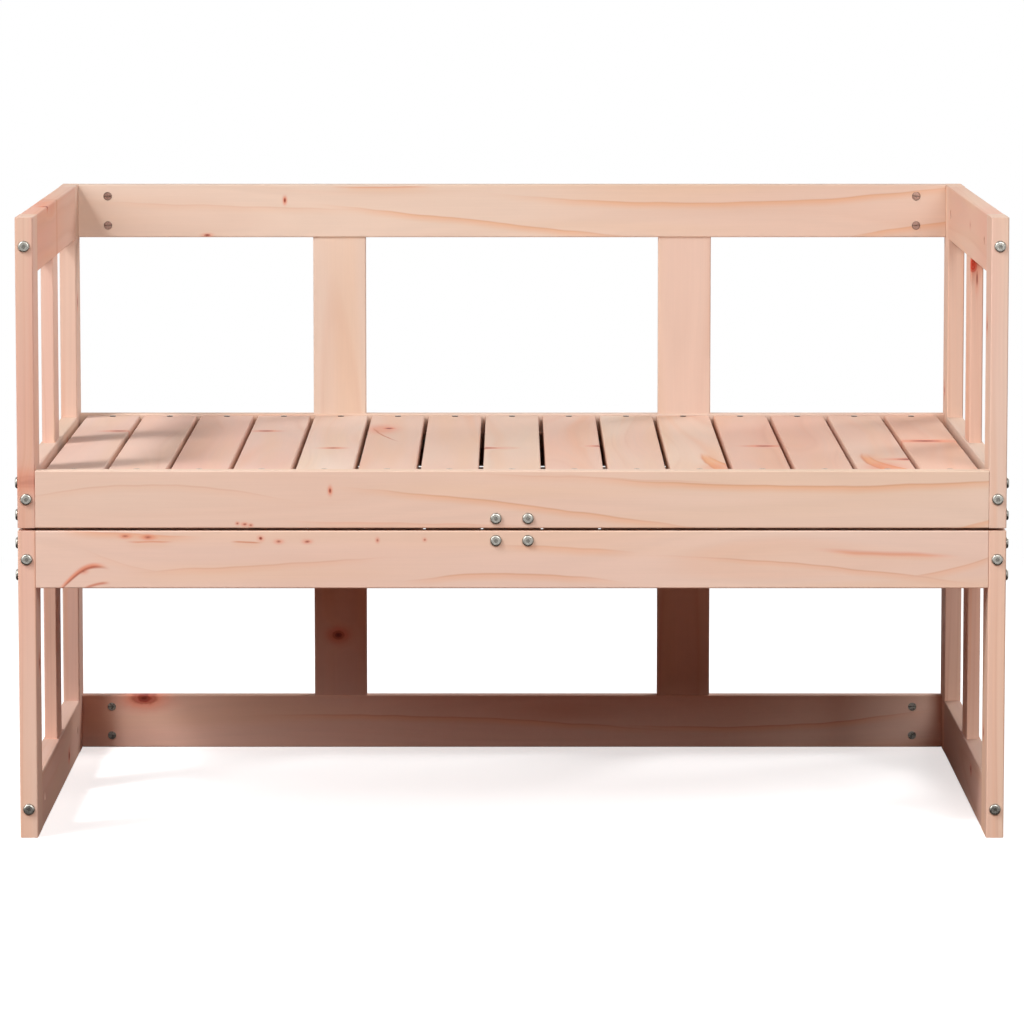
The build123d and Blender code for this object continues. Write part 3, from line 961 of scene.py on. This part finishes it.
def makeNut(plan):
    nut = addDrum("barrelNut", plan["sides"], plan["radius"], -plan["length"], 0)
    for height in (0.0, -plan["length"]):
        bevelEdges(nut, plan["rim"], plan["rimSteps"], endRim(height, plan["radius"]))
    long, wide, deep = plan["slot"]
    cutAway(nut, addBlock("slot", Vector((-long / 2, -wide / 2, -deep)),
                          Vector((long / 2, wide / 2, overcut * 2))))
    middle = up * (-plan["length"] / 2 - plan["recess"] / 2)
    reach = right * plan["threadReach"]
    cutAway(nut, addRod("thread", plan["threadSides"], plan["thread"], middle - reach, middle + reach))
    smoothEdges(nut, metalSmooth)
    face = -plan["rim"] / 2
    # painted shade: the slot, the bore and the sides below the nut's face are darkened
    markPaintedShade(nut, lambda co: 0.0 if co.z > face else plan["sideDark"])
    return nut


woodScrew = {"headRadius": 0.0038, "headDepth": 0.0026, "edge": 0.0003, "shank": 0.002, "tipShare": 0.2,
             "cross": (0.0046, 0.001, 0.0015), "slatLength": 0.035, "ledgerLength": 0.032,
             "hingeLength": 0.016, "sides": 20, "proud": 0.0008, "crossPaintedShade": 0.8,
             "straightShare": 0.75, "ledgerGaps": (1, 5, -6, -2)}


def makeScrew(plan, name):  # the name says what it holds
    length, edge = plan[name + "Length"], plan["edge"]
    screw = addDrum(name + "Screw", plan["sides"], plan["headRadius"], -edge, 0)
    neck = plan["shank"] / plan["headRadius"]
    straight = length * plan["straightShare"]
    growDown(screw, -edge, ((neck, plan["headDepth"] - edge), (1.0, straight),
                            (plan["tipShare"], length - straight - plan["headDepth"])))
    long, thin, deep = plan["cross"]
    for x, y in ((long / 2, thin / 2), (thin / 2, long / 2)):
        cutAway(screw, addBlock("cross", Vector((-x, -y, -deep)), Vector((x, y, overcut))))
    smoothEdges(screw, metalSmooth)
    # painted shade: the cross recess and all of the screw below the top of its head are darkened
    markPaintedShade(screw, lambda co: 0.0 if co.z > -topSkin else plan["crossPaintedShade"])
    return screw


def setDown(model, place, outward, roll):  # a copy with its head outwards
    copy = copyOf(model, model.name + "Copy")
    copy.matrix_world = Matrix.Translation(place) @ facing(outward).to_4x4() @ Matrix.Rotation(roll, 4, "Z")
    return copy


def anyRoll():
    return random.uniform(0, math.pi)


def slotRoll(outward, along):  # lays the slot along the bolt, with some slack
    flat = facing(outward).inverted() @ along
    return math.atan2(flat.y, flat.x) + random.uniform(-barrelNut["slack"], barrelNut["slack"])


def frameJoints():  # where each bolt head sits, which way it goes in, its kind and the side of its nut
    joints = []
    pair = barrelHole["pair"] / 2
    for side, name in ((-1, "left"), (1, "right")):
        postLow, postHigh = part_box("upper_" + name + "_front_post")
        outer = postLow.x if side < 0 else postHigh.x
        for rail, nutSide in (("front_rail", back), ("rear_rail", -back), ("backrest_rail", -back)):
            middle = middleOf("upper_" + rail)
            for rise in (-pair, pair):
                joints.append((Vector((outer, middle.y, middle.z + rise)), right * -side, "short", nutSide))
        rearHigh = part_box("upper_" + name + "_rear_post")[1]
        for rail in ("side_rail", "arm_rail"):
            middle = middleOf("upper_" + name + "_" + rail)
            for face, inward in ((postLow.y, back), (rearHigh.y, -back)):
                joints.append((Vector((middle.x, face, middle.z)), inward, "long", -right))
        level = middleOf("upper_centre_stretcher").z
        for face, inward in ((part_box("upper_front_rail")[0].y, back),
                             (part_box("upper_rear_rail")[1].y, -back)):
            joints.append((Vector((side * pair, face, level)), inward, "short", -up))
    return joints


def fitFasteners():
    models = {kind: makeBolt(frameBolt, kind) for kind in ("short", "long")}
    models["nut"] = makeNut(barrelNut)
    kinds = ("short_bolts", "long_bolts", "barrel_nuts", "slat_screws", "ledger_screws")
    groups = {kind: [] for kind in kinds}
    for seat, inward, kind, nutSide in frameJoints():
        groups[kind + "_bolts"].append(setDown(models[kind], seat, -inward, anyRoll()))
        mouth = seat + inward * barrelHole[kind + "Reach"]
        mouth += nutSide * (barrelNut["boardHalf"] - barrelNut["recess"])
        groups["barrel_nuts"].append(setDown(models["nut"], mouth, nutSide, slotRoll(nutSide, inward)))
    models["slat"], models["ledger"] = makeScrew(woodScrew, "slat"), makeScrew(woodScrew, "ledger")
    for x in slatPlaces:
        for y in (seatLow.y + seatSlats["screwInset"], seatHigh.y - seatSlats["screwInset"]):
            place = Vector((x, y, seatHigh.z + woodScrew["proud"]))
            groups["slat_screws"].append(setDown(models["slat"], place, up, anyRoll()))
    gaps = [(a + b) / 2 for a, b in zip(slatPlaces, slatPlaces[1:])]
    for x in [gaps[number] for number in woodScrew["ledgerGaps"]]:
        for node, out in (("upper_front_ledger", back), ("upper_rear_ledger", -back)):
            low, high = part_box(node)
            place = Vector((x, high.y if out.y > 0 else low.y, (low.z + high.z) / 2))
            groups["ledger_screws"].append(setDown(models["ledger"], place, out, anyRoll()))
    finish = {"short_bolts": zincMaterial("boltZinc", grit=900.0, stain=0.25),
              "barrel_nuts": zincMaterial("nutZinc", grit=700.0, stain=0.5, brown=0.75),
              "slat_screws": zincMaterial("screwZinc", grit=1100.0, stain=0.5),
              # painted light: the lower frame's nuts, which sit in shade, get a lighter copy of the nut
              # finish, without brown and with less stain
              "lower_barrel_nuts": zincMaterial("lowerNutZinc", grit=700.0, stain=0.1)}
    finish["long_bolts"], finish["ledger_screws"] = finish["short_bolts"], finish["slat_screws"]
    for group, copies in groups.items():
        upper = joinAll(copies, pieceName("upper_" + group))
        lower = turnOver(upper, pieceName("lower_" + group))
        for obj, key in ((upper, "upper"), (lower, "lower")):
            metal = finish.get(key + "_" + group, finish[group])
            setPiece(obj, metal, key + "_frame", "zinc_steel", key + "_" + group)
    for model in models.values():
        bpy.data.objects.remove(model)
    print("fasteners fitted:", sum(len(copies) for copies in groups.values()) * 2)


fitFasteners()


# butt hinges and rest pads

buttHinge = {"length": 0.075, "reach": 0.02, "leaf": 0.0014, "gapHalf": 0.0015, "knuckle": 0.003,
             "edge": 0.0003, "play": 0.0001, "notch": 0.0033, "pin": 0.0015, "pinEnd": 0.0006,
             "screwPitch": 0.027, "places": (-0.3, 0.3), "corner": 0.003, "cornerSteps": 5,
             "edgeSteps": 2, "pinSteps": 3, "knuckleCount": 3, "knuckleSides": 28, "pinSides": 20,
             "smoothPin": 40}
hingeY, hingeZ = frame["joints"][0]["pos_m"][1:]


def onAxis(x):  # a place on the hinges' axis
    return Vector((x, hingeY, hingeZ))


def roundEnd(edge):
    return runs(edge, 0) < touching


def makeLeaf(plan, name, x, level, own):
    outer = hingeZ + level * plan["gapHalf"]
    inner = outer - level * plan["leaf"]
    half, step = plan["length"] / 2, plan["length"] / plan["knuckleCount"]
    leaf = addBlock(name, Vector((x - half, hingeY - plan["reach"], min(outer, inner))),
                    Vector((x + half, hingeY, max(outer, inner))))
    middle = hingeY - plan["reach"] / 2
    bevelEdges(leaf, plan["corner"], plan["cornerSteps"], lambda edge: (
        runs(edge, 2) > plan["leaf"] / 2 and edge.verts[0].co.y < middle))
    for number in range(plan["knuckleCount"]):
        start = onAxis(x - half + number * step + plan["play"])
        end = onAxis(x - half + (number + 1) * step - plan["play"])
        if number in own:
            knuckle = addRod("knuckle", plan["knuckleSides"], plan["knuckle"], start, end)
            bevelEdges(knuckle, plan["edge"], plan["edgeSteps"], roundEnd)
            combine(leaf, knuckle, "UNION")
        else:
            gap = right * plan["play"] * 2
            cutAway(leaf, addRod("notch", plan["knuckleSides"], plan["notch"], start - gap, end + gap))
    ends = onAxis(x - half - overcut), onAxis(x + half + overcut)
    cutAway(leaf, addRod("bore", plan["pinSides"], plan["pin"], *ends))
    smoothEdges(leaf, metalSmooth)
    return leaf, inner


def makePin(plan, x):
    half = plan["length"] / 2 + plan["pinEnd"]
    pin = addRod("pin", plan["pinSides"], plan["pin"], onAxis(x - half), onAxis(x + half))
    bevelEdges(pin, plan["pinEnd"], plan["pinSteps"], roundEnd)
    smoothEdges(pin, plan["smoothPin"])
    return pin


def fitHinges(plan):
    screwModel = makeScrew(woodScrew, "hinge")
    screwY = middleOf("upper_rear_rail").y
    leaves, screws, pins = {"upper": [], "lower": []}, {"upper": [], "lower": []}, []
    for x in plan["places"]:
        for key, level, own in (("lower", -1, (0, 2)), ("upper", 1, (1,))):
            leaf, inner = makeLeaf(plan, key + "Leaf", x, level, own)
            leaves[key].append(leaf)
            for number in (-1, 0, 1):
                place = Vector((x + number * plan["screwPitch"], screwY, inner))
                screws[key].append(setDown(screwModel, place, up * -level, anyRoll()))
        pins.append(makePin(plan, x))
    steel = zincMaterial("hingeZinc", grit=600.0, stain=0.45)
    bright = zincMaterial("hingeScrewZinc", grit=1100.0, stain=0.5)
    for key in ("upper", "lower"):
        for copies, kind, metal, slot in ((leaves[key], "leaves", steel, "hinge_steel"),
                                          (screws[key], "screws", bright, "zinc_steel")):
            node = key + "_hinge_" + kind
            setPiece(joinAll(copies, pieceName(node)), metal, key + "_frame", slot, node)
    setPiece(joinAll(pins, "hingePins"), steel, "lower_frame", "hinge_steel", "hinge_pins")
    bpy.data.objects.remove(screwModel)
    print("hinges fitted:", len(plan["places"]))


fitHinges(buttHinge)

restPad = {"radius": 0.007, "rim": 0.0007, "rimSteps": 3, "dish": (0.0024, 0.0004), "sides": 32,
           "smooth": 40, "colour": srgb(46, 44, 43), "dust": srgb(92, 86, 80), "speckle": 1500.0,
           "cloud": 140.0, "dustMix": (0.4, 0.6), "dustRange": (0.45, 0.8),
           "rough": (0.2, 0.8, 0.62, 0.85), "relief": {"Distance": 0.00006, "Strength": 0.5}}


def rubberMaterial(plan):
    material, shader, place = startMaterial("padRubber")
    speckle = noiseAt(grown(place, plan["speckle"]))
    cloud = noiseAt(grown(place, plan["cloud"]))
    dust = between(mixOf(speckle, cloud, plan["dustMix"]), *plan["dustRange"])
    setShader(shader, blendColour(dust, plan["colour"], plan["dust"]),
              between(speckle, *plan["rough"]), speckle, plan["relief"])
    return material


def fitPads(plan):
    pads = []
    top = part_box("rest_pads")[1].z
    for post in ("left_front", "left_rear", "right_front", "right_rear"):
        low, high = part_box("lower_" + post + "_post")
        middle = (low + high) / 2
        foot, head = Vector((*middle.xy, high.z)), Vector((*middle.xy, top))
        pad = addRod("pad", plan["sides"], plan["radius"], foot, head)
        openEdit(pad, "FACE")
        pick(pad, "faces", lambda face: face.normal.z > facingShare)
        inset, drop = plan["dish"]
        bpy.ops.mesh.inset(thickness=inset)
        bpy.ops.mesh.extrude_region_move(TRANSFORM_OT_translate={"value": (0, 0, -drop)})
        closeEdit()
        outer = plan["radius"] * (1 - rimSlack)
        bevelEdges(pad, plan["rim"], plan["rimSteps"], lambda edge: all(
            abs(vert.co.z - top) < touching and (vert.co.xy - middle.xy).length > outer
            for vert in edge.verts))
        smoothEdges(pad, plan["smooth"])
        pads.append(pad)
    setPiece(joinAll(pads, "restPads"), rubberMaterial(plan), "lower_frame", "pad_rubber", "rest_pads")
    print("rest pads fitted:", len(pads))


fitPads(restPad)


# camera

view = {"distance": 6.3295, "height": 1.0847, "aimHeight": 0.3704, "lens": 199.6, "sensor": 36,
        "clipEnd": 100}


def aimAt(obj, target):
    obj.rotation_euler = (target - obj.location).to_track_quat("-Z", "Y").to_euler()


def setCamera(plan):
    front = cadLow.y + frameBolt["headHeight"]  # the bolt heads stand in front of the boards
    clearSelection()
    bpy.ops.object.camera_add(location=(0, front - plan["distance"], plan["height"]))
    camera = nameIt("photoCamera")
    aimAt(camera, Vector((0, front, plan["aimHeight"])))
    camera.data.lens = plan["lens"]
    camera.data.sensor_width = plan["sensor"]
    camera.data.clip_end = plan["clipEnd"]
    bpy.context.scene.camera = camera


setCamera(view)


# light and floor

lamps = {
    "keyLamp": {"from": (-0.54, -0.383, 0.75), "distance": 5.0, "size": 0.72, "level": 0.41},
    "softLamp": {"from": (-0.72, -0.5, 0.48), "distance": 4.6, "size": 3.0, "level": 0.54},
    "frontLamp": {"from": (0.32, -0.86, 0.46), "distance": 3.6, "size": 1.7, "level": 0.52},
    "sideLamp": {"from": (0.6, 0.64, 0.48), "distance": 4.6, "size": 2.2, "level": 0.48},
}
lampTarget = Vector((0, 0, 0.38))


def setLamps(plan):
    for name, lamp in plan.items():
        place = lampTarget + Vector(lamp["from"]).normalized() * lamp["distance"]
        clearSelection()
        bpy.ops.object.light_add(type="AREA", location=place)
        light = nameIt(name)
        aimAt(light, lampTarget)
        light.data.shape = "SQUARE"
        light.data.size = lamp["size"]
        # at level 1 a facing colour shows as written
        light.data.energy = lamp["level"] * math.pi ** 2 * lamp["distance"] ** 2
        light.visible_camera = False
    print("lamps set:", len(plan))


setLamps(lamps)

surround = {"ambient": 0.03, "floorSize": 14.0, "white": (0.9, 0.9, 0.9, 1), "lift": 0.62,
            "shadowReach": (0.9, 2.4), "bounce": (0.3, 0.15, 0.11, 1), "cardReach": 0.9, "cardRise": 0.001,
            "cardColour": srgb(38, 30, 26), "cardRough": 0.9}


def seenElseHidden(seen, hidden):  # what camera, metal and glass see, and what lights the object
    path = addNode("LightPath").outputs
    ray = largest(path["Is Camera Ray"], path["Is Glossy Ray"], path["Is Transmission Ray"])
    return addNode("MixShader", ray, hidden.outputs[0], seen.outputs[0]).outputs[0]


def setWorld(plan):
    world = bpy.data.worlds.new("studio")
    bpy.context.scene.world = world
    emptyTree(world)
    seen = addNode("Background", (1, 1, 1, 1))
    dim = addNode("Background", (1, 1, 1, 1), plan["ambient"])
    addNode("OutputWorld", seenElseHidden(seen, dim))


def makeFloor(plan):
    floor = addShape("studioFloor", bpy.ops.mesh.primitive_plane_add, size=plan["floorSize"],
                     location=(0, 0, cadLow.z))
    material = bpy.data.materials.new("paleFloor")
    emptyTree(material)
    away = vectorCalc("LENGTH", addNode("TexCoord").outputs["Object"])
    white, lift = addNode("BsdfDiffuse", plan["white"]), addNode("Emission", None, plan["lift"])
    shaded = addNode("AddShader", white.outputs[0], lift.outputs[0])
    glow = addNode("Emission")
    near = fadeOut(away, *plan["shadowReach"])  # the shadow fades into plain white
    seen = addNode("MixShader", near, glow.outputs[0], shaded.outputs[0])
    bounce = addNode("BsdfDiffuse", plan["bounce"])
    addNode("OutputMaterial", seenElseHidden(seen, bounce))
    floor.data.materials.append(material)


def makeCard(plan):  # a dark card on the floor that only the metal sees
    card = addShape("darkCard", bpy.ops.mesh.primitive_plane_add, size=1.0,
                    location=(0, 0, cadLow.z + plan["cardRise"]))
    spread = cadHigh - cadLow
    bpy.ops.transform.resize(value=(spread.x + 2 * plan["cardReach"], spread.y + 2 * plan["cardReach"], 1))
    applyPlace(card)
    material, shader = startMaterial("cardBlack")[:2]
    feedAll(shader.inputs, {"Base Color": plan["cardColour"], "Roughness": plan["cardRough"]})
    card.data.materials.append(material)
    for way in ("camera", "diffuse", "transmission", "shadow"):
        setattr(card, "visible_" + way, False)


setWorld(surround)
makeFloor(surround)
makeCard(surround)
bpy.context.scene.view_settings.view_transform = "Standard"
clearSelection()

print("scene ready")
